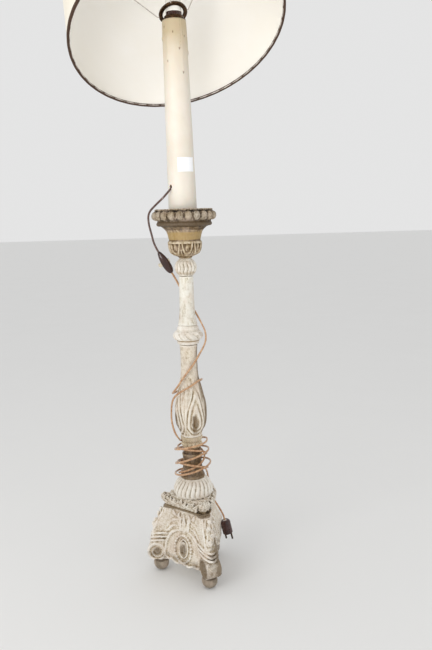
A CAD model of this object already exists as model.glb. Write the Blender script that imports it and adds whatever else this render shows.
import math
import bpy
import numpy as np
from mathutils import Matrix


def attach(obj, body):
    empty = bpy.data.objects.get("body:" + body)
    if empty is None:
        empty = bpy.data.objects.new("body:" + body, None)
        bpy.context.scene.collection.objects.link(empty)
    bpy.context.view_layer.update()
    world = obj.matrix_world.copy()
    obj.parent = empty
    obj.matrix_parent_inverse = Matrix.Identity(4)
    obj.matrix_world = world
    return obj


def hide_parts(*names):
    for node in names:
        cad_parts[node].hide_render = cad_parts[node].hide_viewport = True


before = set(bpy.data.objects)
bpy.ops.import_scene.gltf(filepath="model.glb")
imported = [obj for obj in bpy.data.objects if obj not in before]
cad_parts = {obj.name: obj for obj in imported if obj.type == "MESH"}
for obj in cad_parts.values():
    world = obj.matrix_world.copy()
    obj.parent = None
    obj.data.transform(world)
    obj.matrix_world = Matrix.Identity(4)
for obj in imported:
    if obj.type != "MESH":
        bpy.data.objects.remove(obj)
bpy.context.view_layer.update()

# ---------------------------------------------------------------- ball feet
# Three turned balls of limewood, each pegged under one corner of the block. They carry the
# stick's own thick distemper, rubbed grey and greasy where they meet the floor.

MM = 0.001
TAU = 2 * math.pi
# Hand work leaves each surface uneven: slow wear on what is turned, by its size in millimetres
# and its seed, and chisel marks on what is carved, each as (share, size, seed).
WEAR_SIZE = 14
WEAR_SEED = 3
CHISEL_MARKS = ((1, 11, 21), (0.75, 5.5, 22), (0.3, 3, 23))


def hump(value, middle, width):
    """A smooth hump of height 1: exp(-((value - middle) / width)^2)."""
    return np.exp(-((value - middle) / width) ** 2)


def rise(value, start, run):
    """From 0 at the start to 1 a run further on, which lies below it where run is negative."""
    return np.clip((value - start) / run, 0, 1)


def full_turn(count):
    """This many even angles round a full turn."""
    return np.arange(count) * TAU / count


def round_points(radius, angle, height):
    """The points (R cos a, R sin a, h)."""
    return np.stack(np.broadcast_arrays(radius * np.cos(angle), radius * np.sin(angle), height), -1)


def evenly(outline, count, soften=0):
    """Points at even steps along the outline's (radius, height) corners. Each pass of soften
    averages neighbours as (1, 2, 1) / 4 and leaves both ends."""
    outline = np.array(outline, float)
    steps = np.linalg.norm(np.diff(outline, axis=0), axis=1)
    lengths = np.concatenate([[0], np.cumsum(steps)])
    places = np.linspace(0, lengths[-1], count)
    points = np.stack([np.interp(places, lengths, outline[:, k]) for k in (0, 1)], axis=1)
    for _ in range(soften):
        points[1:-1] = (points[:-2] + 2 * points[1:-1] + points[2:]) / 4
    return points


def uneven(points, size, seed):
    """A smooth field of about -1 to 1: the sum of eight sine waves in directions drawn from the
    seed, with wavelengths near size."""
    rng = np.random.default_rng(seed)
    waves = rng.normal(size=(8, 3))
    waves *= TAU / size * rng.uniform(0.7, 1.4, (8, 1)) / np.linalg.norm(waves, axis=1)[:, None]
    return np.sin(points @ waves.T + rng.uniform(0, TAU, 8)).sum(-1) / 4


def turned(outline, rows, columns, soften=0, carving=None, centre=(0, 0), wear=0.15):
    """A turned grid: point = centre + (R cos a, R sin a, h), moved along the outline's normal by
    carving(a, h, s), with s from 0 at the outline's start to 1 at its end, less some wear."""
    profile = evenly(outline, rows, soften)
    along = np.gradient(profile, axis=0)
    along /= np.linalg.norm(along, axis=1)[:, None] + 1e-9
    angle = full_turn(columns)
    radius, height = profile[:, :1], profile[:, 1:]
    depth = carving(angle, height, np.linspace(0, 1, rows)[:, None]) if carving else 0
    depth = depth - wear * (1 + uneven(round_points(radius, angle, height), WEAR_SIZE, WEAR_SEED))
    return round_points(radius + along[:, 1:] * depth, angle,
                        height - along[:, :1] * depth) + (*centre, 0)


def shell(grid, loop=False):
    """Points and faces of a grid whose columns close into a ring. Its first and last rows are
    closed by a fan to their middle, or joined to each other."""
    rows, columns = grid.shape[:2]
    here = np.arange(columns)
    after = np.roll(here, -1)
    low = np.arange(rows if loop else rows - 1)[:, None] * columns
    high = (low + columns) % (rows * columns)
    quads = np.stack([low + here, low + after, high + after, high + here], -1).reshape(-1, 4)
    points = grid.reshape(-1, 3)
    faces = [quads]
    if not loop:
        points = np.concatenate([points, [grid[0].mean(0), grid[-1].mean(0)]])
        last = (rows - 1) * columns
        middle = rows * columns
        faces += [np.stack([0 * here + middle, after, here], -1),
                  np.stack([0 * here + middle + 1, last + here, last + after], -1)]
    return points, faces


def mesh_of(name, shells):
    """One mesh from several shells in millimetres."""
    corners, faces, count = [], [], 0
    for points, parts in shells:
        corners.append(points)
        faces += [face for part in parts for face in (part + count).tolist()]
        count += len(points)
    mesh = bpy.data.meshes.new(name)
    mesh.from_pydata((np.concatenate(corners) * MM).tolist(), [], faces)
    return mesh


def linked(name, data):
    """A new object in the scene with this mesh, curve, lamp or camera."""
    obj = bpy.data.objects.new(name, data)
    bpy.context.scene.collection.objects.link(obj)
    return obj


def finished_mesh(obj):
    """A new mesh of the object as its modifiers or its curve make it."""
    bpy.context.view_layer.update()
    return bpy.data.meshes.new_from_object(
        obj.evaluated_get(bpy.context.evaluated_depsgraph_get()))


def make(name, shells, material, nodes, body="candlestick", voxel=0.0, rough=0.0):
    """One object from several shells in millimetres, remeshed as one skin where voxel is set and
    then moved along its normals by rough times -2.1 to 0.7, as by a chisel, with marks of some
    (share, size, seed). It rides on its body, and stands for its nodes."""
    mesh = mesh_of(name, shells)
    obj = linked(name, mesh)
    if voxel:
        skin = obj.modifiers.new("skin", "REMESH")
        skin.mode = "VOXEL"
        skin.voxel_size = voxel * MM
        mesh = finished_mesh(obj)
        obj.modifiers.clear()
        obj.data = mesh
        points = vertex_array(mesh, "co") / MM
        dent = sum(share * uneven(points, size, seed) for share, size, seed in CHISEL_MARKS)
        points += vertex_array(mesh, "normal") * (rough * (np.clip(dent, -1.6, 1.2) - 0.5))[:, None]
        mesh.vertices.foreach_set("co", (points * MM).ravel().astype(np.float32))
    mesh.name = name
    mesh.polygons.foreach_set("use_smooth", np.ones(len(mesh.polygons), bool))
    mesh.materials.clear()
    mesh.materials.append(material)
    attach(obj, body)
    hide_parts(*nodes)
    return obj


def vertex_array(mesh, field):
    """The mesh's vertex positions or normals as an array."""
    values = np.empty(len(mesh.vertices) * 3, np.float32)
    mesh.vertices.foreach_get(field, values)
    return values.reshape(-1, 3).astype(float)


def note(obj, field, values):
    """Keep one number per vertex on the mesh, for its material."""
    attribute = obj.data.attributes.new(field, "FLOAT", "POINT")
    attribute.data.foreach_set("value", values.astype(np.float32))


def carved(name, shells, paint, node, rounds, depth, gilt=None, extra=lambda points: 0.0,
           voxel=0.0, rough=0.0):
    """A carved wooden piece of the stick. Its relief = how far each vertex stands out from the
    same surface after this many rounds of averaging neighbours, in parts of depth, plus
    extra(points), and its gilt = gilt(points)."""
    obj = make(name, shells, paint, [node], voxel=voxel, rough=rough)
    mesh = obj.data
    points = vertex_array(mesh, "co")
    edges = np.empty(len(mesh.edges) * 2, np.int32)
    mesh.edges.foreach_get("vertices", edges)
    one, other = edges.reshape(-1, 2).T
    count = len(points)
    degree = np.bincount(edges, minlength=count)[:, None]
    smooth = points.copy()
    for _ in range(rounds):
        total = np.stack([np.bincount(one, smooth[other, k], count)
                          + np.bincount(other, smooth[one, k], count) for k in range(3)], 1)
        smooth = (smooth + total / degree) / 2
    height = ((points - smooth) * vertex_array(mesh, "normal")).sum(1) / (depth * MM)
    note(obj, "relief", np.clip(height + extra(points / MM), -1, 1))
    note(obj, "gilt", np.zeros(count) if gilt is None else np.clip(gilt(points / MM), 0, 1))


def tone(red, green, blue):
    """A colour picked by eye on a 0 to 255 scale, as the linear colour of a shader socket."""
    value = np.array([red, green, blue]) / 255
    linear = np.where(value <= 0.04045, value / 12.92, ((value + 0.055) / 1.055) ** 2.4)
    return (*linear.tolist(), 1.0)


def new_material(name):
    """A node material, its node tree and its main shader."""
    material = bpy.data.materials.new(name)
    material.use_nodes = True
    return material, material.node_tree, material.node_tree.nodes["Principled BSDF"]


def feed(tree, shader, inputs):
    """Set each input of a shader node by its name or number: linked where the value is an output,
    and plain where it isn't."""
    for key, value in inputs.items():
        if isinstance(value, bpy.types.NodeSocket):
            tree.links.new(value, shader.inputs[key])
        else:
            shader.inputs[key].default_value = value
    return shader


def node(tree, kind, inputs):
    """A new shader node with these inputs."""
    return feed(tree, tree.nodes.new("ShaderNode" + kind), inputs)


def object_place(tree, stretch=(1, 1, 1)):
    """The place on the piece, stretched along the three axes."""
    place = tree.nodes.new("ShaderNodeTexCoord").outputs["Object"]
    if stretch == (1, 1, 1):
        return place
    return node(tree, "Mapping", {"Scale": stretch, "Vector": place}).outputs["Vector"]


def attribute(tree, field):
    """A number that was noted on the mesh."""
    made = tree.nodes.new("ShaderNodeAttribute")
    made.attribute_name = field
    return made.outputs["Fac"]


def noise(tree, place, scale, detail=4.0, roughness=0.55):
    """Soft cloudy noise, with this many features to the metre."""
    return node(tree, "TexNoise", {"Vector": place, "Scale": scale, "Detail": detail,
                                   "Roughness": roughness}).outputs["Fac"]


def sum_of(tree, base, *parts):
    """Base plus weight (output - middle) for each (output, weight, middle)."""
    total = base
    for value, weight, middle in parts:
        if isinstance(total, bpy.types.NodeSocket):
            total = node(tree, "Math", {0: total, 1: -weight * middle}).outputs[0]
        else:
            total -= weight * middle
        term = tree.nodes.new("ShaderNodeMath")
        term.operation = "MULTIPLY_ADD"
        total = feed(tree, term, {0: value, 1: weight, 2: total}).outputs[0]
    return total


def ramp(tree, value, stops):
    """Colours along a value: stops are (place, colour)."""
    made = node(tree, "ValToRGB", {"Fac": value})
    elements = made.color_ramp.elements
    while len(elements) < len(stops):
        elements.new(0.5)
    for element, (position, colour) in zip(elements, stops):
        element.position = position
        element.color = colour
    return made.outputs["Color"]


def grey(level):
    """The same share of red, green and blue."""
    return (level, level, level, 1)


def blend_colours(tree, share, first, second):
    """The second colour laid over the first by this share."""
    made = tree.nodes.new("ShaderNodeMix")
    made.data_type = "RGBA"
    return feed(tree, made, {0: share, 6: first, 7: second}).outputs[2]


def raise_bumps(tree, surface, height, reach, strength=1.0):
    """Small bumps on the surface, of this reach in metres."""
    bumps = node(tree, "Bump", {"Distance": reach, "Strength": strength, "Height": height})
    tree.links.new(bumps.outputs["Normal"], surface.inputs["Normal"])


TONE_PLACES = (0.06, 0.26, 0.44, 0.58, 0.82)
BLUSH = tone(206, 186, 168)


def distemper(name, tones, worn_tones, gilt_tone, wear=0.9):
    """Old distemper over gesso: the relief and three noises choose among five tones, from dirt in
    the hollows to clean paint on the crests. Patches of the worn tones, a faint blush and the
    gilding lie over it."""
    material, tree, surface = new_material(name)
    place = object_place(tree)
    grain = noise(tree, place, 95, 7, 0.66)
    flakes = noise(tree, place, 420, 4, 0.7)
    streaks = noise(tree, object_place(tree, (230, 230, 38)), 1, 4, 0.6)
    patches = noise(tree, place, 19, 3, 0.5)
    level = sum_of(tree, 0.57, (attribute(tree, "relief"), 0.5, 0), (grain, wear, 0.5),
                   (streaks, 0.45 * wear, 0.5), (flakes, 0.55 * wear, 0.5))
    clean, worn = (ramp(tree, level, [(at, tone(*stop)) for at, stop in zip(TONE_PLACES, five)])
                   for five in (tones, worn_tones))
    share = ramp(tree, patches, [(0.4, grey(0)), (0.62, grey(1))])
    colour = blend_colours(tree, share, clean, worn)
    blush = ramp(tree, noise(tree, place, 34, 4, 0.6), [(0.46, grey(0)), (0.7, grey(0.5))])
    colour = blend_colours(tree, blush, colour, BLUSH)
    gilding = sum_of(tree, 0, (attribute(tree, "gilt"), 1, 0), (grain, 0.9, 0.5))
    gilded = ramp(tree, gilding, [(0.25, grey(0)), (0.6, grey(0.85))])
    colour = blend_colours(tree, gilded, colour, tone(*gilt_tone))
    dull = ramp(tree, level, [(0.2, grey(0.85)), (0.55, grey(0.5)), (0.9, grey(0.62))])
    feed(tree, surface, {"Base Color": colour, "Roughness": dull})
    raise_bumps(tree, surface, sum_of(tree, 0, (grain, 1, 0.5), (flakes, 0.55, 0.5),
                                      (streaks, 0.5, 0.5)), 0.0016, 0.75)
    return material


GREY_TONES = [(84, 72, 56), (130, 116, 94), (174, 162, 142), (205, 195, 179), (229, 222, 210)]
OCHRE = (150, 120, 72)
whitened = distemper(
    "whitened_distemper",
    [(96, 80, 58), (152, 135, 106), (199, 188, 167), (224, 218, 205), (241, 237, 229)],
    GREY_TONES, OCHRE)
greyed = distemper(
    "greyed_distemper",
    [(50, 40, 29), (74, 63, 49), (98, 87, 72), (122, 111, 95), (156, 145, 129)],
    [(44, 34, 24), (66, 54, 40), (90, 76, 59), (114, 100, 82), (142, 128, 110)], (86, 68, 45))
CORNERS = (171, 291, 59)
FOOT_CIRCLE = 92
FOOT_RADIUS = 20.3
FOOT_MIDDLE = 19.9
slope = np.linspace(-1.36, 0.9, 24)
foot_outline = [(0.5, 0.1), *zip(FOOT_RADIUS * np.cos(slope),
                                 np.maximum(FOOT_MIDDLE + FOOT_RADIUS * np.sin(slope), 0.1)),
                (12.4, 35.9), (0.5, 35.9)]
for side, heading in zip(("left", "front", "rear"), CORNERS):
    at = [FOOT_CIRCLE * f(math.radians(heading)) for f in (math.cos, math.sin)]
    carved(f"ball_foot_{side}", [shell(turned(
        foot_outline, 60, 84, 1,
        lambda a, h, s: -0.7 * (h < 4) - 0.9 * hump(h, 30, 1.4), at, 0.3))],
        greyed, f"foot_ball_{side}", 20, 1.2, lambda p: 0.5 * hump(p[:, 2], 31, 5))


# ---------------------------------------------------------------- foot dowels
# Three plain beech pegs, glued through each ball into the block. Nothing of them shows once the
# feet are on.


def plain(name, low, high, scale, rough, metal=0.0, stretch=(1, 1, 1), bump=0.0002, coat=0.0):
    """A finish that runs between two tones by fine noise, with matching dull and bright spots."""
    material, tree, surface = new_material(name)
    place = object_place(tree, stretch)
    field = noise(tree, place, scale, 5, 0.6)
    dull = ramp(tree, noise(tree, place, scale * 2.3, 4, 0.6),
                [(0.25, grey(rough * 0.75)), (0.75, grey(min(1, rough * 1.25)))])
    feed(tree, surface, {"Base Color": ramp(tree, field, [(0.3, low), (0.7, high)]),
                         "Roughness": dull, "Metallic": metal, "Coat Weight": coat})
    raise_bumps(tree, surface, field, bump)
    return material


def dress(material, *nodes):
    """Give CAD nodes whose shape is right their finish."""
    for name in nodes:
        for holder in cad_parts[name].material_slots:
            holder.material = material


beech = plain("bare_beech", tone(160, 120, 76), tone(196, 158, 108), 1, 0.6, 0,
              (300, 300, 24), 0.0001)
dress(beech, "foot_dowels")

# ---------------------------------------------------------------- base block
# The three-sided block, carved from one lump of limewood: a scroll on each corner, with bands
# over it, and on each face a beaded medallion, leaf sprays and long ribs under white distemper.

BASE_LEVELS = (36, 57, 83, 111, 139, 156, 178, 186)
CORNER_REACH = (100, 106, 113, 115, 98, 86, 78, 76)
FACE_REACH = (55, 53, 49.5, 46, 42, 40, 42, 42)
SCROLL_CIRCLE = 100
SCROLL_LEVEL = 57
SCROLL_RADIUS = 25.8
SCROLL_HALF_WIDTH = 20.6
SCROLL_TURNS = 2.1
MEDALLION_LEVEL = 80
DISH = (29, 36)
DISH_DEPTH = 2.2


def reach_at(height, reaches, levels=BASE_LEVELS):
    """The reach at a height, between the levels that are given."""
    return np.interp(height, levels, reaches)


def soft_least(one, other, blend):
    """Both lengths' least, rounded over about blend where they meet."""
    return -blend * np.logaddexp(-one / blend, -other / blend)


def three_sided_radius(angle, corner, face, leg, blend):
    """The radius of a triangle with hollow sides and cut corners: on each side of a corner the
    face lies at face / cos b, the cut at corner / cos d, and a leg of half width leg stands out."""
    past = (np.degrees(angle) - CORNERS[1]) % 120
    off = np.radians(np.minimum(past, 120 - past))
    across = np.radians(60) - off
    hollow = (corner / 2 - face) * np.clip(np.tan(across) / math.tan(math.radians(60)), 0, 1) ** 2
    side = (face + hollow) / np.cos(across)
    cut = corner / np.cos(off)
    body = soft_least(side, cut, blend)
    if leg:
        arm = soft_least(cut, leg / np.maximum(np.sin(off), 0.02), blend)
        body = -soft_least(-body, -arm, blend * 0.5)
    return body


def on_face(heading, across, height, out):
    """A point on one hollow face, this far across it, up it and out from it."""
    across, height, out = (np.asarray(v, float) for v in (across, height, out))
    face = reach_at(height, FACE_REACH)
    corner = reach_at(height, CORNER_REACH)
    away = face + (corner / 2 - face) * np.clip(across / (0.866 * corner), -1, 1) ** 2 + out
    turn = math.radians(heading)
    return np.stack([away * math.cos(turn) - across * math.sin(turn),
                     away * math.sin(turn) + across * math.cos(turn), height + 0 * away], -1)


def flowing(points, count):
    """A smooth path of this many points through the given ones, by Catmull-Rom cubics."""
    points = np.array(points, float)
    padded = np.concatenate([[2 * points[0] - points[1]], points, [2 * points[-1] - points[-2]]])
    place = np.linspace(0, len(points) - 1 - 1e-9, count)
    start = place.astype(int)
    t = (place - start)[:, None]
    a, b, c, d = (padded[start + k] for k in range(4))
    return (b + t * (c - a) / 2 + t ** 2 * (a - 2.5 * b + 2 * c - d / 2)
            + t ** 3 * (-a / 2 + 1.5 * b - 1.5 * c + d / 2))


def unit(vectors):
    """The vectors at length 1."""
    return vectors / (np.linalg.norm(vectors, axis=-1, keepdims=True) + 1e-12)


def sweep(path, up, across, through, closed=False):
    """A grid along a path: point = P + across W + through N, with W across the path and N near up,
    at right angles to both."""
    along = unit(np.roll(path, -1, 0) - np.roll(path, 1, 0) if closed
                 else np.gradient(path, axis=0))
    wide = unit(np.cross(along, up))
    return (path[:, None] + across[..., None] * wide[:, None]
            + through[..., None] * np.cross(wide, along)[:, None])


def bar(path, radius, up, columns=10, height=1.0, taper=0.12):
    """A rounded bar along a path, this high for its width. Its radius rises from 0 at both ends
    over the share taper of its length."""
    share = np.linspace(0, 1, len(path))
    swell = np.sqrt(np.clip(np.minimum(share, 1 - share) / taper, 0.02, 1))
    turn = full_turn(columns)
    reach = (radius * swell)[:, None]
    return sweep(path, up, reach * np.cos(turn), -height * reach * np.sin(turn))


def ring_bar(path, radius, up):
    """A rounded bar along a closed path, of even width."""
    turn = full_turn(10)[None]
    return sweep(path, up, radius * np.cos(turn), -radius * np.sin(turn), True)


def bead(centre, radii, frame_axes=np.eye(3), columns=12, rows=9):
    """A rounded bead: point = C + r1 sin p cos a X + r2 sin p sin a Y - r3 cos p Z."""
    polar = np.linspace(0.12, math.pi - 0.12, rows)[:, None, None]
    turn = full_turn(columns)[:, None]
    x, y, z = np.asarray(frame_axes, float)
    return (np.asarray(centre, float) + radii[0] * np.sin(polar) * np.cos(turn) * x
            + radii[1] * np.sin(polar) * np.sin(turn) * y - radii[2] * np.cos(polar) * z)


def leaf(path, width, thick, up):
    """A carved leaf on a path: point = P + W w cos b + N t sin b (1 - 0.55 g), with the half
    width w = width sin(pi s^0.7) and g a groove down the middle of its back."""
    share = np.linspace(0.02, 0.98, len(path))[:, None]
    swell = np.sin(math.pi * share ** 0.7)
    turn = full_turn(14)
    groove = 1 - 0.55 * hump(np.cos(turn), 0, 0.3)
    scallop = 1 + 0.1 * np.cos(share * TAU * 4)
    return sweep(path, up, width * swell * scallop * np.cos(turn),
                 -thick * np.sqrt(swell) * np.sin(turn) * groove)


def corner_frame(heading):
    """Outward, across and up at one corner, as rows."""
    turn = math.radians(heading)
    return np.array([[math.cos(turn), math.sin(turn), 0], [-math.sin(turn), math.cos(turn), 0],
                     [0, 0, 1]])


def scroll(heading):
    """One corner's scroll: a drum across the corner whose ends wind in as a snail, with ridges
    at cos(2 pi 2.1 R - turn) for a share R of the radius, and a round eye."""
    outline = [(0.4, -SCROLL_HALF_WIDTH), (SCROLL_RADIUS - 2, -SCROLL_HALF_WIDTH),
               (SCROLL_RADIUS, -SCROLL_HALF_WIDTH + 2), (SCROLL_RADIUS, SCROLL_HALF_WIDTH - 2),
               (SCROLL_RADIUS - 2, SCROLL_HALF_WIDTH), (0.4, SCROLL_HALF_WIDTH)]

    def snail(turn, height, share):
        size = np.interp(share, [0, 0.25, 0.75, 1], [0, 1, 1, 0])
        wound = np.cos(TAU * size * SCROLL_TURNS - np.sign(height) * turn)
        inward = rise(size, 0.9, -0.12)
        eye = hump(size, 0, 0.2)
        return inward * (-3.2 + 1.9 * wound) * (1 - eye) - 1.2 * eye

    drum = turned(outline, 110, 96, 1, snail)
    out, across, up = corner_frame(heading)
    middle = out * SCROLL_CIRCLE + up * SCROLL_LEVEL
    local = drum.reshape(-1, 3) @ np.array([out, up, -across]) + middle
    local[:, 2] = np.maximum(local[:, 2], 36.2)
    return local.reshape(drum.shape)


def corner_bands(heading):
    """Three soft bands wrapped round the leg over the scroll, and the ribs that flow down the leg
    from the cap, with a leaf between each two."""
    axes = corner_frame(heading)
    bands = []
    for level, grow in ((92, 0), (102, -1.5), (112, -4)):
        loop = np.array([(66, -21), (94, -20), (110, -15), (117, -7), (118, 0), (117, 7),
                         (110, 15), (94, 20), (66, 21)]) + (grow, 0)
        drop = -11 * (1 - (loop[:, 1] / 21) ** 2)
        path = np.stack([loop[:, 0], loop[:, 1], level + drop], 1) @ axes
        bands.append(shell(bar(flowing(path, 50), 3.2, axes[2], 12)))
    for foot, head, sway in ((-15, -9, 1), (-7.5, -3, -1), (0.5, 1.5, 1), (8, 4.5, -1), (15, 9, 1)):
        bulge = 1 - (foot / 20) ** 2
        spine = [(104 + 7 * bulge, foot, 116), (98 + 7 * bulge, foot + sway, 129),
                 (91 + 5 * bulge, (foot + head) / 2 - sway, 143),
                 (83 + 4 * bulge, (foot + head) / 2 + sway, 158),
                 (77 + 3 * bulge, head, 172), (75 + 2 * bulge, head, 184)]
        bands.append(shell(bar(flowing(np.array(spine) @ axes, 50), 3.4, axes[0], 12)))
    for place, level in ((-4, 124), (5, 138), (-3, 153), (4, 168)):
        out = 113 - (level - 116) * 0.53
        spine = np.array([(out, place, level + 9), (out + 3, place + 1, level + 2),
                          (out + 1, place, level - 7)]) @ axes
        bands.append(shell(leaf(flowing(spine, 22), 5.8, 4, axes[0])))
    return bands


def face_carving(heading):
    """One face: an oval string of beads round a small domed drop with a curl, a tuft of leaves
    over it, long ribs that sweep from the tuft to both corners, and the scrolled lower edge."""
    normal = corner_frame(heading)[0]
    work = []

    def oval(half_width, half_height, count, out):
        turn = full_turn(count)
        return on_face(heading, half_width * np.cos(turn),
                       MEDALLION_LEVEL + half_height * np.sin(turn), out)

    for centre in oval(27, 35.5, 26, 1.1):
        work.append(shell(bead(centre, (3.3, 3.3, 3.3))))
    work.append(shell(ring_bar(oval(14.2, 23.5, 80, -0.9), 1.9, normal), True))
    centre = on_face(heading, 0, MEDALLION_LEVEL, -1)
    work.append(shell(bead(centre, (5.2, 11.5, 20), corner_frame(heading), 40, 30)))
    curl = np.linspace(0.4, 2.4 * math.pi, 60)
    size = 1.2 + 0.75 * curl
    domed = 5.2 * np.sqrt(np.clip(1 - (size * np.cos(curl) / 11.5) ** 2
                                  - ((size * np.sin(curl) * 1.25 - 7) / 20) ** 2, 0.05, 1))
    path = on_face(heading, size * np.cos(curl), MEDALLION_LEVEL - 7 + size * np.sin(curl) * 1.25,
                   domed - 0.9)
    work.append(shell(bar(path, 1.4, normal, 8)))
    spine = on_face(heading, [0, 1, -1, 0], [122, 138, 156, 172], [0, 2.4, 2.8, 1])
    work.append(shell(leaf(flowing(spine, 30), 6.5, 3.4, normal)))
    for side in (-1, 1):
        sprays = (((6, 124), (12, 136), (13, 150), (8, 160), 5.6),
                  ((9, 146), (15, 156), (17, 166), (13, 176), 5.2),
                  ((24, 160), (30, 166), (34, 173), (33, 179), 4.6),
                  ((42, 162), (47, 167), (51, 172), (52, 177), 4.2))
        for *spine, width in sprays:
            spine = np.array(spine, float)
            path = on_face(heading, side * spine[:, 0], spine[:, 1], [-0.6, 1.4, 2, 0.4])
            work.append(shell(leaf(flowing(path, 26), width, 3.2, normal)))
        ribs = (((7, 126), (26, 123), (43, 110), (53, 92), (57, 74), (56, 60)),
                ((13, 140), (34, 134), (54, 117), (65, 97), (70, 80)),
                ((17, 155), (38, 147), (58, 130), (71, 109), (78, 94)),
                ((30, 168), (48, 156), (64, 139), (76, 119), (82, 106)),
                ((50, 168), (60, 156), (70, 143), (79, 128)))
        for i, spine in enumerate(ribs):
            spine = np.array(spine, float)
            out = np.linspace(-1, 0.4, len(spine))
            path = on_face(heading, side * spine[:, 0], spine[:, 1], out)
            path = flowing(path, 50) + (0, 0, 1) * np.sin(np.arange(50) * 0.5 + i)[:, None] * 0.7
            work.append(shell(bar(path, 4.6 - 0.2 * i, normal, 12, 0.95, 0.35)))
        hem = np.array([(2, 39.5), (10, 41.5), (19, 39.5), (28, 42), (37, 45), (46, 43), (55, 46),
                        (64, 54), (70, 62)], float)
        path = on_face(heading, side * hem[:, 0], hem[:, 1], np.full(len(hem), 0.2))
        work.append(shell(bar(flowing(path, 60), 3.2, normal, 12)))
    return work


def base_body():
    """The block's plain form, three-sided at every height, with a dish round each medallion and a
    wavy lower edge."""
    height = np.linspace(36.2, 186, 150)[:, None]
    angle = full_turn(540)
    radius = three_sided_radius(angle, reach_at(height, CORNER_REACH) - 3,
                                reach_at(height, FACE_REACH) - 1, 17, 6)
    past = (np.degrees(angle) - CORNERS[1]) % 120 - 60
    across = radius * np.sin(np.radians(past))
    oval = np.sqrt((across / DISH[0]) ** 2 + ((height - MEDALLION_LEVEL) / DISH[1]) ** 2)
    radius = radius - DISH_DEPTH * rise(oval, 1, -0.2)
    hem = 4.5 * rise(height, 56.2, -20) * np.abs(np.sin(np.radians(past) * 7.5))
    return round_points(radius, angle, height + hem)


def trimmed(shells):
    """The rear corner is cut back more than the others: x and y shrink by the share
    0.1 exp(-(d / 30)^2), with d the angle in degrees from that corner."""
    cut = []
    for points, faces in shells:
        off = (np.degrees(np.arctan2(points[:, 1], points[:, 0])) - CORNERS[2] + 180) % 360 - 180
        cut.append((points * (1 - np.outer(0.1 * hump(off, 0, 30), (1, 1, 0))), faces))
    return cut


def base_gilt(points):
    """Where the gilding shows: the scrolls' hollow ends, the medallions' middles and the edge
    under the cap. The front corner, its scroll and the face past it are rubbed down to it too."""
    gilt = 0.98 * hump(points[:, 2], 184, 5.5)
    turn = np.degrees(np.arctan2(points[:, 1], points[:, 0])) % 360
    gilt = np.maximum(gilt, 0.66 * rise(turn, 282, 14)
                      * np.clip((178 - points[:, 2]) / 70, 0.25, 1))
    gilt = np.maximum(gilt, 0.4 * hump(points[:, 2], 50, 14))
    for heading in CORNERS:
        out, across, up = corner_frame(heading)
        away = points - out * SCROLL_CIRCLE - up * SCROLL_LEVEL
        size = np.hypot(away @ out, away @ up)
        if heading == CORNERS[1]:
            gilt = np.maximum(gilt, 0.85 * np.exp(-(size / 27) ** 6))
        gilt = np.maximum(gilt, 0.6 * np.exp(-(size / 15) ** 4) * (np.abs(away @ across) > 12))
        out, across, up = corner_frame(heading + 60)
        away = points - up * MEDALLION_LEVEL
        oval = np.hypot(away @ across / 13, away @ up / 22)
        gilt = np.maximum(gilt, 0.6 * np.exp(-oval ** 4) * (away @ out > 30))
    return gilt


base_paint = distemper(
    "base_distemper",
    [(144, 126, 98), (196, 181, 155), (221, 211, 192), (233, 225, 212), (243, 239, 230)],
    [(132, 113, 88), (184, 167, 141), (209, 195, 175), (224, 212, 196), (237, 228, 217)],
    (104, 82, 48), 0.9)
base_shells = [shell(base_body())]
for heading in CORNERS:
    base_shells.append(shell(scroll(heading)))
    base_shells += corner_bands(heading)
    base_shells += face_carving(heading + 60)
carved("carved_base", trimmed(base_shells), base_paint, "base_block", 30, 1.35, base_gilt,
       voxel=1.15, rough=0.55)

# ---------------------------------------------------------------- base cap
# The moulded cap of the block, a separate carved slab pegged on it: a gold-brown line below,
# then a frill of upright leaves all round, with a lump of leaves on each corner.

CAP_LEVELS = (186, 191, 200, 208, 216)
CAP_CORNER = (79, 80, 80, 78, 70)
CAP_FACE = (44, 46, 50, 50, 47)


def cap_body():
    """The cap's plain three-sided slab."""
    height = np.linspace(186, 216, 30)[:, None]
    angle = full_turn(420)
    radius = three_sided_radius(angle, reach_at(height, CAP_CORNER, CAP_LEVELS) - 3,
                                reach_at(height, CAP_FACE, CAP_LEVELS) - 2, 0, 5)
    return round_points(radius, angle, height)


def cap_leaves(heading):
    """Ragged upright leaves side by side on one face of the cap, and the clump of leaves that
    rises over the next corner."""
    out, across, up = corner_frame(heading)
    leaves = []
    for i in range(-4, 5):
        tall = 3 * math.sin(2.3 * i + 1)
        lean = 1.6 * i
        away = 48.5 + math.sin(3.1 * i)
        spine = [out * (away - 2) + across * i * 10.6 + up * 190,
                 out * (away + 4) + across * (i * 10.6 + lean * 0.2) + up * 198,
                 out * (away + 3.4) + across * (i * 10.8 + lean * 0.6) + up * (207 + tall),
                 out * (away - 3) + across * (i * 11 + lean) + up * (213.5 + tall)]
        leaves.append(shell(leaf(flowing(spine, 24), 7.2, 5.2, out)))
    line = np.linspace(-62, 62, 60)
    bowed = out * 47.5 + across * line[:, None] + up * (187.4 + 1.2 * np.cos(line / 11))[:, None]
    leaves.append(shell(bar(bowed, 3.3, out, 10)))
    out, across, up = corner_frame(heading + 60)
    for turn, size, tall in ((-62, 0.8, -2), (-34, 0.95, 2), (-10, 1.05, 4), (14, 1, 1),
                             (40, 0.95, 3), (66, 0.8, -3)):
        lean = math.radians(turn)
        aim = out * math.cos(lean) + across * math.sin(lean)
        spine = [out * 60 + up * 193, out * 62 + aim * 13 * size + up * 202,
                 out * 62 + aim * 18 * size + up * 210,
                 out * 61 + aim * 13 * size + up * (217 + tall)]
        leaves.append(shell(leaf(flowing(spine, 26), 7.6, 5.6, aim)))
    leaves.append(shell(bead(out * 65 + up * 202, (12.5, 14.5, 14), np.array([out, across, up]),
                             30, 20)))
    return leaves


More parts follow.
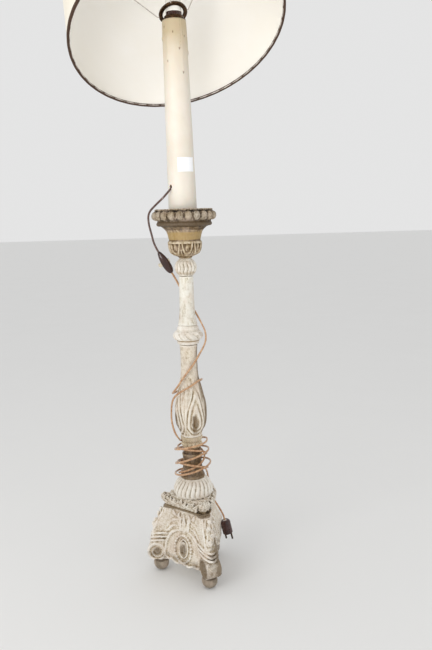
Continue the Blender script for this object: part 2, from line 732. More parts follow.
cap_paint = distemper(
    "cap_distemper",
    [(104, 88, 64), (148, 132, 104), (186, 174, 152), (212, 204, 189), (236, 231, 221)],
    GREY_TONES, (112, 88, 46), 0.85)
cap_shells = [shell(cap_body())]
for heading in CORNERS:
    cap_shells += cap_leaves(heading + 60)
carved("leafy_cap", trimmed(cap_shells), cap_paint, "base_cap", 26, 1.7,
       lambda p: hump(p[:, 2], 187, 8), lambda p: -0.1 * (p[:, 2] > 193),
       voxel=1.0, rough=0.9)

# ---------------------------------------------------------------- gadrooned bun
# A turned cushion over the cap, cut all round in fat upright lobes and whitened thickly. Its
# spigot stands in the spool.

BUN_LOBES = 24


def lobes(angle, count, depth, power=0.7):
    """Depth below the crest of upright lobes: depth (1 - |cos(n a / 2)|^power)."""
    return -depth * (1 - np.abs(np.cos(count * angle / 2)) ** power)


bun_outline = [(40, 216), (47, 216.6), (50.5, 222), (51.3, 229), (49.5, 238), (45.5, 247),
               (39, 255), (33, 260), (31, 262), (24, 262)]
carved("gadrooned_cushion", [shell(turned(
    bun_outline, 110, 420, 3,
    lambda a, h, s: lobes(a + 0.06 * np.sin(s * 6), BUN_LOBES, 3.8)
    * rise(h, 217, 5) * rise(h, 261, -6), wear=0.3))],
    whitened, "gadrooned_bun", 40, 1.6, extra=lambda p: 0.15)

# ---------------------------------------------------------------- beaded spool
# The stick's waist: a turned spool with tongues cut in its flare, a dark groove and a ring of
# fourteen round beads. The white is left on its beads and top, and the gold-brown ground shows
# below them.

SPOOL_BEADS = 14
SPOOL_BEAD_LEVEL = 351
spool_outline = [(26, 262), (31, 262.3), (31, 267), (28, 273), (25.6, 282), (24.2, 295),
                 (23.6, 308), (24.4, 318), (25.6, 322), (25.6, 325), (22.2, 328), (22, 337),
                 (22.4, 341), (24.4, 343), (22.4, 345), (21.4, 351), (22.4, 357), (25, 360),
                 (26.9, 363), (27.4, 367), (27.4, 372), (20, 372)]
spool_shells = [shell(turned(
    spool_outline, 190, 260, 1,
    lambda a, h, s: lobes(a, 12, 1.7, 0.5) * rise(h, 272, 6) * rise(h, 319, -5)
    + 0.5 * np.cos(24 * a) * (h > 363) * (h < 371)))]
for i in range(SPOOL_BEADS):
    turn = TAU * i / SPOOL_BEADS
    spool_shells.append(shell(bead((22 * math.cos(turn), 22 * math.sin(turn),
                                    SPOOL_BEAD_LEVEL), (4.9, 4.9, 5.8), columns=20, rows=14)))
spool_paint = distemper(
    "spool_gilding",
    [(34, 23, 12), (64, 45, 24), (98, 73, 42), (138, 110, 70), (216, 202, 174)],
    [(36, 26, 17), (64, 48, 31), (94, 74, 50), (126, 104, 74), (164, 144, 112)],
    (106, 77, 36), 0.75)
carved("spool_with_beads", spool_shells, spool_paint, "beaded_spool", 22, 1.1,
       lambda p: 0.4 * hump(p[:, 2], 300, 22),
       lambda p: 0.95 * (p[:, 2] > 359) - 0.25 * (p[:, 2] < 345)
       + 0.75 * (np.abs(p[:, 2] - SPOOL_BEAD_LEVEL) < 7))

# ---------------------------------------------------------------- leafy baluster
# The long pear under the collar, carved with four big drop-shaped leaves whose ribs run up as
# flames on to the neck. Ochre shows in the drops' hollows and down the right side.

LEAF_HEADING = 292
DROP_LEVEL = 406
DROP_UNIT = 120
baluster_outline = [(22, 372), (26.3, 372.2), (27.8, 379), (31, 386), (35.4, 395), (38.4, 403),
                    (40, 412), (41, 424), (41, 437), (40.3, 450), (38.6, 463), (35, 479),
                    (30.6, 495), (25.8, 514), (22.8, 525), (21.4, 540), (21, 560), (21, 590),
                    (22.6, 607), (16, 608)]


def leaf_place(angle, height):
    """Across = the arc from the nearest leaf's middle, -1 to 1, swung sideways higher up as a
    flame, and up = the height over the drop's middle in parts of DROP_UNIT."""
    turn = (angle - math.radians(LEAF_HEADING) + math.pi / 4) % (math.pi / 2) - math.pi / 4
    up = (height - DROP_LEVEL) / DROP_UNIT
    return turn / (math.pi / 4) + 0.16 * np.sin(7 * up) * np.clip(up, 0, 0.6), up


def flame_leaves(angle, height, share):
    """Each leaf is a nest of round-bottomed drops: drop = hypot(across / 0.95, up / 0.26) below
    the middle and up / 0.86 over it, with ridges at cos(2 pi 2.7 drop)."""
    across, up = leaf_place(angle, height)
    narrow = 1 - 0.45 * np.clip(up / 0.8, 0, 1)
    drop = np.hypot(across / (0.95 * narrow), up / np.where(up > 0, 0.86, 0.26))
    inside = rise(drop, 1.12, -0.15)
    ridges = np.cos(TAU * 2.7 * np.clip(drop, 0, 1.3))
    hollow = np.exp(-(((across + 0.22) / 0.13) ** 2 + ((up - 0.04) / 0.17) ** 2))
    tongues = np.cos(across * 10 - up * 6 * np.sign(across))
    fade = rise(height, 375, 6) * rise(height, 528, -30)
    depth = (-1.4 + 1.3 * ridges - 1.3 * hollow) * inside + (-1.1 + 1.0 * tongues) * (1 - inside)
    return np.minimum(depth * fade, 0)


def baluster_gilt(points):
    """Gilding in the drops' hollows, down the right side and in a rubbed patch under the drops."""
    across, up = leaf_place(np.arctan2(points[:, 1], points[:, 0]), points[:, 2])
    hollow = 0.95 * np.exp(-(((across + 0.15) / 0.27) ** 2 + ((up - 0.03) / 0.24) ** 2))
    turn = np.degrees(np.arctan2(points[:, 1], points[:, 0]))
    hollow = np.maximum(hollow, 0.75 * hump(turn, -8, 26) * (up > -0.2))
    return np.maximum(hollow, 0.45 * np.exp(-((across / 0.5) ** 2 + ((up + 0.12) / 0.14) ** 2)))


leaf_paint = distemper(
    "leaf_distemper",
    [(76, 62, 42), (142, 120, 86), (190, 174, 148), (222, 211, 192), (240, 233, 220)],
    GREY_TONES, (110, 84, 46), 0.85)
carved("leafy_baluster", [shell(turned(baluster_outline, 300, 300, 1, flame_leaves))],
       leaf_paint, "acanthus_baluster", 46, 1.4, baluster_gilt)

# ---------------------------------------------------------------- wreath collar
# A turned collar between the shaft and the baluster: a plain ring below, a twisted wreath of
# leaves round its widest part, and a small ring above.

collar_outline = [(15, 608), (20.4, 608.2), (25.6, 609.5), (27.4, 613), (27.4, 617), (28.4, 619),
                  (33.5, 621), (37.2, 625), (38.2, 630), (36.8, 636), (32.5, 641), (28, 643),
                  (26.8, 645.5), (26.8, 650), (24.5, 653.5), (22.4, 656), (21, 656.9),
                  (14, 656.9)]


def wreath(angle, height, share):
    """Slanting leaves round the collar: -3.6 (1 - |cos(5 a + k h)|^0.9) with a finer vein, faded
    above and below the widest part."""
    band = rise(height, 619, 3) * rise(height, 643, -3)
    slant = 5 * angle + (height - 630) * 0.1 + 0.3 * np.sin(3 * angle)
    vein = 0.4 * np.cos(4 * slant + 1.2)
    return band * (-3.6 * (1 - np.abs(np.cos(slant)) ** 0.9) + vein - 0.4)


carved("wreath_collar", [shell(turned(collar_outline, 130, 320, 1, wreath, wear=0.25))],
       whitened, "collar_knop", 26, 1.3, lambda p: 0.9 * hump(p[:, 2], 619, 1.8),
       lambda p: 0.3)

# ---------------------------------------------------------------- tapered shaft
# A plain turned length with a flared foot and the whitest paint of the stick. It has flaked in
# long spots down to the brown dirt.

shaft_outline = [(15, 657), (24.6, 657.1), (23.8, 660), (22.2, 666), (20.6, 676), (19.4, 688),
                 (18.6, 702), (18.2, 720), (18.2, 743), (18, 762), (18, 777), (12, 778)]
shaft_paint = distemper(
    "shaft_distemper",
    [(96, 84, 62), (158, 146, 120), (200, 193, 176), (222, 218, 205), (233, 230, 220)],
    [(84, 74, 54), (140, 126, 98), (184, 173, 148), (214, 207, 188), (233, 229, 217)], OCHRE, 1.35)
carved("whitewashed_shaft", [shell(turned(
    shaft_outline, 160, 160, 2, lambda a, h, s: -0.22 * (1 - np.cos(8 * a)) / 2, wear=0.22))],
    shaft_paint, "upper_shaft", 20, 0.6,
    extra=lambda p: 0.2 - 0.35 * hump(p[:, 2], 688, 16))

# ---------------------------------------------------------------- reeded knop
# The ball under the cup, carved as a bud of sixteen upright reeds that close at both ends. It is
# whitened like the collar.

knop_outline = [(12, 778), (18, 778.2), (20, 781.5), (23.8, 786), (26.4, 792), (27.3, 798.5),
                (26.4, 806), (23.4, 812), (18.6, 816.6), (15.4, 820), (14, 821), (9, 821)]
carved("reeded_ball", [shell(turned(
    knop_outline, 100, 288, 2,
    lambda a, h, s: lobes(a + 0.05 * np.sin(h / 4), 16, 3.0, 0.6)
    * np.sin(math.pi * rise(h, 779, 38)) ** 0.5, wear=0.25))],
    whitened, "ball_knop", 34, 1.2, lambda p: 0.4 * hump(p[:, 2], 786, 5))

# ---------------------------------------------------------------- leaf cup
# The cup that carries the pan: a gold-brown barrel that flares up to the pan, and a bowl below of
# eight round-ended leaves with points between them.

CUP_LEAVES = 8
cup_outline = [(9, 821), (15.6, 821.2), (17.4, 824.5), (28, 828), (36, 833.5), (39.6, 840),
               (41.6, 848), (42.3, 856), (42.4, 860), (40.5, 862.4), (38.4, 863.4), (38.3, 866),
               (39.6, 871), (41, 878), (43.6, 885), (47, 890), (50.6, 893.4), (54, 896), (20, 896)]


def cup_leaves(angle, height, share):
    """Round-ended leaves that hang from the bowl's edge: across is the arc from a leaf's middle,
    the rim follows hypot(across / 0.86, (1 - up) / 0.94) = 0.9, and points rise between them."""
    turn = (angle * CUP_LEAVES / TAU + 0.32) % 1
    across = np.abs(turn - 0.5) * 2
    up = rise(height, 824, 36)
    edge = np.hypot(across / 0.86, (1 - up) / 0.94) - 1
    bowl = rise(height, 825, 4) * rise(height, 862.6, -1.5)
    rim = hump(edge, -0.1, 0.17)
    rib = hump(across, 0.16 * np.sin(4 * up), 0.16) * rise(up, 0.25, 0.2)
    point = hump(across, 1, 0.16) * rise(up, 0.62, -0.2)
    lip = rise(up, 0.86, 0.08)
    return bowl * (-3.4 + 3.2 * np.maximum(np.maximum(rim, 0.55 * rib),
                                           np.maximum(0.6 * point, 0.9 * lip)))


cup_paint = distemper(
    "cup_distemper",
    [(42, 29, 15), (82, 61, 34), (124, 101, 65), (168, 146, 110), (216, 203, 180)],
    [(40, 28, 16), (78, 58, 34), (118, 95, 63), (160, 138, 104), (208, 194, 169)],
    (166, 138, 84), 1.0)


def cup_shade(points):
    """The leaves are dulled, uneven dark streaks run down the barrel, and its top is dirty."""
    height = points[:, 2]
    turn = np.arctan2(points[:, 1], points[:, 0])
    streaks = 0.3 * np.cos(31 * turn) * np.cos(5 * turn + 1) + 0.2 * np.cos(13 * turn)
    return (-0.15 * (height < 862) + np.minimum(streaks, 0) * (height > 865)
            - 0.4 * (height > 889))


carved("leaf_bowl", [shell(turned(cup_outline, 170, 400, 1, cup_leaves))],
       cup_paint, "leaf_cup", 40, 1.5, lambda p: 0.62 * rise(p[:, 2], 864, 3)
       * rise(p[:, 2], 889, -7), cup_shade)

# ---------------------------------------------------------------- drip pan
# The round wooden pan that catches the wax, with twenty-two knobs round its rim between a thin
# lip above and a cord moulding below. Its dish is stained brown.

PAN_KNOBS = 22
pan_outline = [(12, 893), (41, 893.1), (50, 894.6), (57.6, 898), (63.5, 898.6), (66.5, 900.5),
               (67.6, 903), (66.8, 906), (64.4, 908.6), (64.6, 911), (67.6, 916), (69, 922),
               (68, 929), (65.5, 933.4), (67.2, 934.4), (69.6, 936), (70, 937.6), (68.6, 938.9),
               (62, 938.9), (60, 937.6), (59.4, 934), (57, 931.6), (52, 931), (12, 931)]
pan_shells = [shell(turned(pan_outline, 150, 300, 1, lambda a, h, s: 0.5 * np.cos(66 * a)
                           * hump(h, 936, 1.6) * (s < 0.62)))]
for i in range(PAN_KNOBS):
    turn = TAU * i / PAN_KNOBS
    out = np.array([math.cos(turn), math.sin(turn), 0])
    axes = np.array([out, [-out[1], out[0], 0], [0, 0, 1]])
    pan_shells.append(shell(bead(out * 67.6 + axes[2] * 923, (11, 10.2, 11), axes, 26, 18)))
    gap = TAU * (i + 0.5) / PAN_KNOBS
    out = np.array([math.cos(gap), math.sin(gap), 0])
    spine = [out * 67 + axes[2] * 912, out * 71 + axes[2] * 922, out * 68.5 + axes[2] * 932]
    pan_shells.append(shell(bar(flowing(spine, 16), 1.5, out, 8)))
pan_paint = distemper(
    "pan_distemper",
    [(30, 22, 13), (58, 45, 29), (90, 75, 54), (126, 112, 92), (174, 163, 147)],
    [(30, 21, 12), (60, 45, 26), (90, 71, 46), (118, 99, 73), (156, 141, 116)], (76, 56, 26), 0.95)
carved("knobbed_pan", pan_shells, pan_paint, "drip_pan", 26, 1.2,
       lambda p: 0.95 * rise(p[:, 2], 912, -5)
       + 0.6 * (np.hypot(p[:, 0], p[:, 1]) < 58) * (p[:, 2] > 928),
       lambda p: -0.35 * (p[:, 2] > 932), voxel=1.0, rough=0.45)

# ---------------------------------------------------------------- pricket spike
# The forged spike that the candle stands on, driven down through pan and cup. It is hidden by
# the candle.

iron = plain("forged_iron", tone(44, 40, 38), tone(82, 74, 68), 260, 0.55, 0.85)
dress(iron, "pricket_spike")

# ---------------------------------------------------------------- mock candle
# A tall card sleeve dipped in wax, so that it looks like a real candle. Old drips run down from
# its browned top, and the flex comes out of a small hole near its foot.

CANDLE_FOOT = np.array([-2.0, 0, 931])
CANDLE_LEAN = math.radians(-0.69)
CANDLE_HEIGHT = 433
CANDLE_RADIUS = 34.3
CANDLE_TAPER = 5 / 345
CANDLE_MIDDLE_RADIUS = 29
candle_x = np.array([math.cos(CANDLE_LEAN), 0, -math.sin(CANDLE_LEAN)])
candle_z = np.array([math.sin(CANDLE_LEAN), 0, math.cos(CANDLE_LEAN)])
candle_axes = np.array([candle_x, [0, 1, 0], candle_z])
DRIPS = ((196, 44, 4.6, 1.9), (215, 17, 3.2, 1.2), (232, 92, 3.4, 1.5), (262, 30, 4.2, 1.3),
         (289, 66, 3.0, 1.4), (303, 118, 2.6, 1.2), (318, 38, 4.0, 1.5), (352, 75, 3.6, 1.5),
         (28, 52, 4.2, 1.7), (64, 110, 3.2, 1.4), (98, 36, 4.0, 1.6), (135, 84, 3.4, 1.5))


def wax_drips(angle, height, share):
    """Each of the DRIPS (heading, run, width, thickness) is a strip down from the top,
    exp(-(arc / width)^2), that ends in a fuller drop. It lies on the outer skin alone."""
    outer = share < 0.47
    total = 0
    for heading, run, width, thick in DRIPS:
        arc = (angle - math.radians(heading) + math.pi) % TAU - math.pi
        arc = arc * CANDLE_MIDDLE_RADIUS
        low = CANDLE_HEIGHT - run
        strip = hump(arc, 0, width) * rise(height, low, 3)
        drop = np.exp(-(arc / width / 1.15) ** 2 - ((height - low - 3) / 5) ** 2)
        total = total + thick * (0.45 * strip + 0.75 * drop)
    return np.minimum(total, 2.2) * outer - 0.1


candle_outline = [(31.4, 0), (34.1, 0), (CANDLE_RADIUS, 2), (29.3, 347), (28.4, 420), (27.8, 431.5),
                  (27, 432.9), (25, 432.9), (25.2, 425), (31.2, 20)]
candle_grid = turned(candle_outline, 330, 200, 0, wax_drips, wear=0.12)
candle_grid = candle_grid @ candle_axes + CANDLE_FOOT


def candle_wax():
    """Cream wax: browner in the top third, with brown stains at the drips' ends and edges."""
    material, tree, surface = new_material("candle_wax")
    place = object_place(tree)
    clouds = noise(tree, place, 16, 4, 0.5)
    fine = noise(tree, place, 240, 4, 0.6)
    body = ramp(tree, clouds, [(0.3, tone(216, 207, 192)), (0.7, tone(226, 218, 206))])
    height = node(tree, "SeparateXYZ", {0: place})
    browning = sum_of(tree, -6.2, (height.outputs["Z"], 5.15, 0), (clouds, 0.55, 0.5))
    top = ramp(tree, browning, [(0.0, grey(0)), (0.4, grey(0.35)), (0.68, grey(1))])
    colour = blend_colours(tree, top, body, tone(192, 175, 144))
    stain = ramp(tree, sum_of(tree, 0, (attribute(tree, "stain"), 1, 0), (fine, 0.5, 0.5)),
                 [(0.35, grey(0)), (0.8, grey(0.85))])
    colour = blend_colours(tree, stain, colour, tone(112, 84, 54))
    feed(tree, surface, {"Base Color": colour, "Subsurface Weight": 0.12,
                         "Subsurface Scale": 0.004,
                         "Roughness": ramp(tree, fine, [(0.3, grey(0.34)), (0.7, grey(0.5))])})
    raise_bumps(tree, surface, sum_of(tree, 0, (clouds, 0.5, 0.5), (fine, 0.3, 0.5)), 0.0008, 0.4)
    return material


candle = make("wax_candle", [shell(candle_grid, True)], candle_wax(),
              ["candle_tube"])


def cut_away(piece, grid):
    """Cut a closed grid's volume out of the piece."""
    cutter = linked("cutter", mesh_of("cutter", [shell(grid)]))
    cut = piece.modifiers.new("hole", "BOOLEAN")
    cut.operation = "DIFFERENCE"
    cut.object = cutter
    left = finished_mesh(piece)
    piece.modifiers.clear()
    piece.data = left
    bpy.data.objects.remove(cutter)


HOLE_INNER_END = (-8.2, -5.8, 992)
HOLE_OUTER_END = (-48, -34, 989)
HOLE_RADIUS = 4.8
cut_away(candle, bar(np.linspace(HOLE_INNER_END, HOLE_OUTER_END, 8), HOLE_RADIUS, (0, 0, 1), 24,
                     taper=0.001))


def drip_stains(points):
    """Dirt at the drips' ends and along their edges."""
    away = (points / MM - CANDLE_FOOT) @ candle_axes.T
    turn = np.degrees(np.arctan2(away[:, 1], away[:, 0]))
    total = np.zeros(len(points))
    for heading, run, width, _ in DRIPS:
        arc = np.radians((turn - heading + 180) % 360 - 180) * CANDLE_MIDDLE_RADIUS
        low = CANDLE_HEIGHT - run
        total += 0.85 * np.exp(-(arc / 2.2) ** 2 - ((away[:, 2] - low + 1) / 4) ** 2)
        total += 0.32 * hump(np.abs(arc), width, 1.2) * (away[:, 2] > low)
    return np.clip(total, 0, 1)


note(candle, "stain", drip_stains(vertex_array(candle.data, "co")))
dress(beech, "candle_base_plug", "candle_top_plug")

# ---------------------------------------------------------------- blank label
# A white paper sticker on the front of the candle, left blank. One corner has begun to lift.

LABEL_LOW = 93
LABEL_HIGH = 126
LABEL_TURN = (257, 331)
LABEL_THICKNESS = 0.12


def label_grid():
    """A thin curved sheet on the candle, front and back: R = the candle's radius, less its taper,
    plus a lift at one corner."""
    height = np.linspace(LABEL_LOW, LABEL_HIGH, 26)[:, None]
    turn = np.radians(np.linspace(*LABEL_TURN, 40))[None, :]
    skin = CANDLE_RADIUS - (height - 2) * CANDLE_TAPER + 0.02
    corner = rise(height, 117, 9) * rise(turn, math.radians(318), 0.2)
    radius = skin + 0.14 + 0.9 * corner ** 2
    front = round_points(radius, turn, height)
    back = round_points(radius - LABEL_THICKNESS, turn, height)
    return np.concatenate([front, back[:, ::-1]], 1) @ candle_axes + CANDLE_FOOT


paper = plain("label_paper", tone(238, 240, 243), tone(246, 247, 249), 300, 0.6)
make("blank_label", [shell(label_grid())], paper, ["paper_label"])

# ---------------------------------------------------------------- nipple and lampholder
# A brass nipple with two nuts holds the lampholder on the plug in the candle's top. The holder is
# a brown moulded cap under a white body and insert, with a brass shell and contact.

brass = plain("old_brass", tone(150, 112, 52), tone(196, 156, 84), 140, 0.35, 1.0)
porcelain = plain("white_porcelain", tone(232, 230, 222), tone(244, 242, 236), 90, 0.2)
bakelite = plain("brown_bakelite", tone(34, 17, 12), tone(66, 32, 22), 60, 0.22, 0,
                 (1, 1, 0.4), 0.00006, 0.3)
dress(brass, "nipple", "nipple_nuts", "holder_screw_shell", "holder_contact",
      "holder_terminals", "bulb_cap")
dress(porcelain, "holder_insert", "holder_body")
dress(bakelite, "holder_cap")

# ---------------------------------------------------------------- bulb
# A small white bulb in the holder, wholly inside the shade. The glass is opal, so it looks
# milky when the lamp is off.

dress(plain("opal_glass", tone(238, 238, 232), tone(247, 247, 243), 30, 0.16, coat=0.4),
      "bulb_glass")

# ---------------------------------------------------------------- seat washer and carrier ring
# The shade isn't screwed down. Its dark bronze ring, made of three hoops, lies askew on the edge of
# a lipped washer on the candle's end, so it can be spun and tipped by hand.

bronze = plain("dark_bronze", tone(34, 22, 14), tone(98, 70, 42), 170, 0.26, 0.75,
               (1, 1, 1), 0.0005)
CANDLE_TOP = CANDLE_FOOT + candle_z * CANDLE_HEIGHT
SHADE_HEADING = math.radians(111.6)
SHADE_LEAN = math.radians(29)
WASHER_SECTION = (18.7, 27, 0, 1.2)
LIP_SECTION = (20.2, 22.4, 0.4, 8.5)
HOOP_SECTIONS = ((24.2, 33, -1.4, 1.4), (24, 27.4, -0.6, 3), (29.8, 33.4, -1.5, 3.2))


def squarish(value, power):
    """The value to this power, with its own sign."""
    return np.sign(value) * np.abs(value) ** power


def rounded_ring(inner, outer, low, high):
    """A closed ring section with rounded corners, as (radius, height) points."""
    turn = full_turn(28) - math.pi / 2
    corners = squarish(np.stack([np.cos(turn), np.sin(turn)], 1), 0.62)
    return corners * ((outer - inner) / 2, (high - low) / 2) + ((inner + outer) / 2,
                                                                (low + high) / 2)


def ring_grid(section, columns, carving=None):
    """A ring with this section: point = (R cos a, R sin a, h)."""
    turn = full_turn(columns)
    return round_points(section[:, :1] + (carving(turn) if carving else 0), turn, section[:, 1:])


washer = [shell(ring_grid(rounded_ring(*section), 120) @ candle_axes + CANDLE_TOP, True)
          for section in (WASHER_SECTION, LIP_SECTION)]
make("turned_washer", washer, bronze, ["seat_washer"], "carrier_seat")

toward = np.array([math.cos(SHADE_HEADING), math.sin(SHADE_HEADING), 0])
toward = unit(toward - candle_z * (toward @ candle_z))
downhill = toward * math.cos(SHADE_LEAN) - candle_z * math.sin(SHADE_LEAN)
shade_z = toward * math.sin(SHADE_LEAN) + candle_z * math.cos(SHADE_LEAN)
shade_x = np.cross(downhill, shade_z)
shade_axes = np.array([shade_x, downhill, shade_z])
RING_TOUCH = 27.8
RING_HALF_THICKNESS = 1.5
shade_middle = (CANDLE_TOP + candle_z * WASHER_SECTION[3] + toward * WASHER_SECTION[1]
                - downhill * RING_TOUCH + shade_z * RING_HALF_THICKNESS)
hoops = [shell(ring_grid(rounded_ring(*section), 160, lambda a: 0.35 * np.sin(3 * a + 1))
               @ shade_axes + shade_middle, True) for section in HOOP_SECTIONS]
make("carrier_hoop", hoops, bronze, ["carrier_ring"], "lampshade")

# ---------------------------------------------------------------- shade frame
# Four thin wires splay from the ring to the shade's top hoop, and a second hoop spreads its
# lower edge. All are plain plated wire.

wire = plain("plated_wire", tone(176, 168, 160), tone(212, 205, 198), 220, 0.35, 0.5)
dress(wire, "carrier_arms", "shade_top_ring", "shade_bottom_ring")

# ---------------------------------------------------------------- shade
# A big tapered drum of off-white cloth, laminated on card and closed by one glued lap. Inside it
# is smooth cream card. A folded strip of dark brown tape binds each edge over its hoop.

RIM_LEVEL = -60.6
SHADE_HEIGHT = 350
RIM_RADIUS = 250
TOP_RADIUS = 223
SKIN = 1.2
LAP_HEADING = math.radians(100)
TAPE_DEPTH = 6.5
SHADE_ROWS = 80
SHADE_COLUMNS = 360


def skin_wave(angle, share):
    """How far the cloth stands from a true cone: a slow wave and the lap's thickness."""
    arc = (angle - LAP_HEADING + math.pi) % TAU - math.pi
    lap = 0.5 * ((arc > 0) & (arc < 0.07)) * np.clip(arc / 0.004, 0, 1)
    return 0.35 * np.sin(3 * angle + 0.7) * np.sin(math.pi * share) + lap - 0.5


def shade_skin():
    """The skin's outer wall from rim to top, then its inner wall back down: the radius runs
    evenly from the rim's to the top's."""
    share = np.linspace(0, 1, SHADE_ROWS)[:, None]
    angle = full_turn(SHADE_COLUMNS)
    outer = RIM_RADIUS + (TOP_RADIUS - RIM_RADIUS) * share + skin_wave(angle, share)
    inner = RIM_RADIUS - SKIN + (TOP_RADIUS - RIM_RADIUS) * share
    level = RIM_LEVEL + SHADE_HEIGHT * share
    walls = [round_points(outer, angle, level), round_points(inner, angle, level)[::-1]]
    return np.concatenate(walls) @ shade_axes + shade_middle


def shade_cloth():
    """Off-white slubbed cloth: fine threads both ways, from the piece's own UV map, in metres
    round and up the shade."""
    material, tree, surface = new_material("shade_cloth")
    around = tree.nodes.new("ShaderNodeUVMap").outputs["UV"]

    def threads(stretch):
        mapping = node(tree, "Mapping", {"Scale": stretch, "Vector": around})
        return noise(tree, mapping.outputs["Vector"], 1, 3, 0.6)
    warp, weft = threads((1900, 40, 1)), threads((30, 1700, 1))
    weave = sum_of(tree, 0.5, (warp, 0.7, 0.5), (weft, 0.9, 0.5))
    slow = noise(tree, object_place(tree), 5, 3, 0.5)
    level = sum_of(tree, 0, (weave, 0.6, 0), (slow, 0.5, 0.5))
    colour = ramp(tree, level, [(0.1, tone(222, 213, 194)), (0.55, tone(240, 236, 225))])
    feed(tree, surface, {"Base Color": colour, "Roughness": 0.85, "Sheen Weight": 0.15})
    raise_bumps(tree, surface, weave, 0.0004, 0.6)
    return material


liner = plain("cream_card", tone(248, 244, 235), tone(252, 250, 246), 3.2, 0.5, bump=0.0001)
shade = make("drum_shade", [shell(shade_skin(), True)], shade_cloth(),
             ["shade_skin"], "lampshade")
shade.data.materials.append(liner)
face_rows = np.repeat(np.arange(2 * SHADE_ROWS), SHADE_COLUMNS)
shade.data.polygons.foreach_set("material_index", (face_rows >= SHADE_ROWS).astype(np.int32))
shade_map = shade.data.uv_layers.new(name="UVMap")
corner_vertex = np.empty(len(shade.data.loops), np.int32)
shade.data.loops.foreach_get("vertex_index", corner_vertex)
row, column = np.divmod(corner_vertex, SHADE_COLUMNS)
last_face = (column.reshape(-1, 4).max(1) == SHADE_COLUMNS - 1).repeat(4)
around = np.where(last_face & (column == 0), TAU, column * TAU / SHADE_COLUMNS)
upward = np.where(row < SHADE_ROWS, row, 2 * SHADE_ROWS - 1 - row) / (SHADE_ROWS - 1)
metres = np.stack([around * RIM_RADIUS, upward * SHADE_HEIGHT], 1) * MM
shade_map.data.foreach_set("uv", metres.ravel().astype(np.float32))


def edge_tape(rim_radius, level, side):
    """The tape's folded section over the skin's edge and hoop: out, round the edge and in."""
    lean = (TOP_RADIUS - RIM_RADIUS) / SHADE_HEIGHT
    section = [(0.35, TAPE_DEPTH), (0.75, TAPE_DEPTH - 0.4), (0.75, 0.6), (0.2, -0.25),
               (-2.6, -0.4), (-5.2, 0.6), (-6.2, 2.6), (-5.2, 4.7), (-2.9, 5.4),
               (-1.6, TAPE_DEPTH + 1.4), (-1.3, TAPE_DEPTH + 1.8), (-1.3, TAPE_DEPTH + 1.2),
               (-1.25, 1.2), (-0.2, 0.8)]
    out, up = evenly(section + section[:1], 60, 1)[:-1].T
    up = up * side
    folded = np.stack([rim_radius + out + up * lean, level + up], 1)[::side]
    return ring_grid(folded, 300, lambda a: 0.12 * np.sin(46 * a)) @ shade_axes + shade_middle


tape = plain("brown_tape", tone(48, 32, 22), tone(84, 58, 40), 900, 0.8, bump=0.0003)
for name, radius, level, side, trim in (
        ("lower", RIM_RADIUS, RIM_LEVEL, 1, "shade_bottom_trim"),
        ("upper", TOP_RADIUS, RIM_LEVEL + SHADE_HEIGHT, -1, "shade_top_trim")):
    make(f"{name}_edge_tape", [shell(edge_tape(radius, level, side), True)], tape,
         [trim], "lampshade")

# ---------------------------------------------------------------- upper flex
# A dark brown twin flex that comes out of the candle's hole, hangs past the pan's rim and ends
# in the switch. Its two cores lie side by side.

FLEX_DIAMETER = 5.0
SWITCH_TOP = np.array([-64.7, 4, 837.4])
SWITCH_END = np.array([-34.3, 20, 784])
switch_down = unit(SWITCH_END - SWITCH_TOP)
FLEX_EXIT = (-25.7, -18, 990)
UPPER_ROUTE = [FLEX_EXIT, (-42.5, -35, 969), (-67, -16, 949), (-86, 7, 931), (-86.5, 15, 906),
               (-80, 7, 881), tuple(SWITCH_TOP - switch_down * 19),
               tuple(SWITCH_TOP + switch_down * 4)]


def hang_line(name, route):
    """The smooth line of a cord: a NURBS spline of order 3 with the route's points as control
    points, read back as points."""
    curve = bpy.data.curves.new(name, "CURVE")
    curve.dimensions = "3D"
    spline = curve.splines.new("NURBS")
    spline.points.add(len(route) - 1)
    for point, place in zip(spline.points, route):
        point.co = (*(MM * float(v) for v in place), 1)
    spline.order_u = 3
    spline.use_endpoint_u = True
    spline.resolution_u = 10
    obj = linked(name, curve)
    line = vertex_array(finished_mesh(obj), "co") / MM
    bpy.data.objects.remove(obj)
    return line[np.concatenate([[True], np.linalg.norm(np.diff(line, axis=0), axis=1) > 0.05])]


def twin_flex(line, aim):
    """Two round cores side by side, swept along the line: across is cos b to the
    power 0.8 and thick = sin b (1.75 + 0.5 |sin 2b|), with the wide way square to the aim."""
    turn = full_turn(14)[None]
    across = squarish(np.cos(turn), 0.8) * FLEX_DIAMETER / 2
    thick = np.sin(turn) * (1.75 + 0.5 * np.abs(np.sin(2 * turn)))
    return sweep(line, aim, across, -thick)


def lay_flex(name, line, aim, material, nodes):
    """One declared cord: its swept sheath, standing for its CAD solids."""
    flex = make(name, [shell(twin_flex(line, aim))], material, nodes)


brown_flex = plain("brown_flex_sheath", tone(58, 36, 30), tone(104, 74, 64), 130, 0.3,
                   bump=0.0001, coat=0.35)
upper_line = hang_line("upper_line", UPPER_ROUTE)
lay_flex("upper_flex", upper_line, (0.35, 0.75, 0.4), brown_flex, ["flex_upper"])
dress(brown_flex, "inner_flex")

# ---------------------------------------------------------------- lower flex
# The newer clear-sheathed flex, gold from its copper. It leaves the switch, winds down the stick
# and the baluster's leaves, goes six times round the spool, and drops behind the base to the plug.

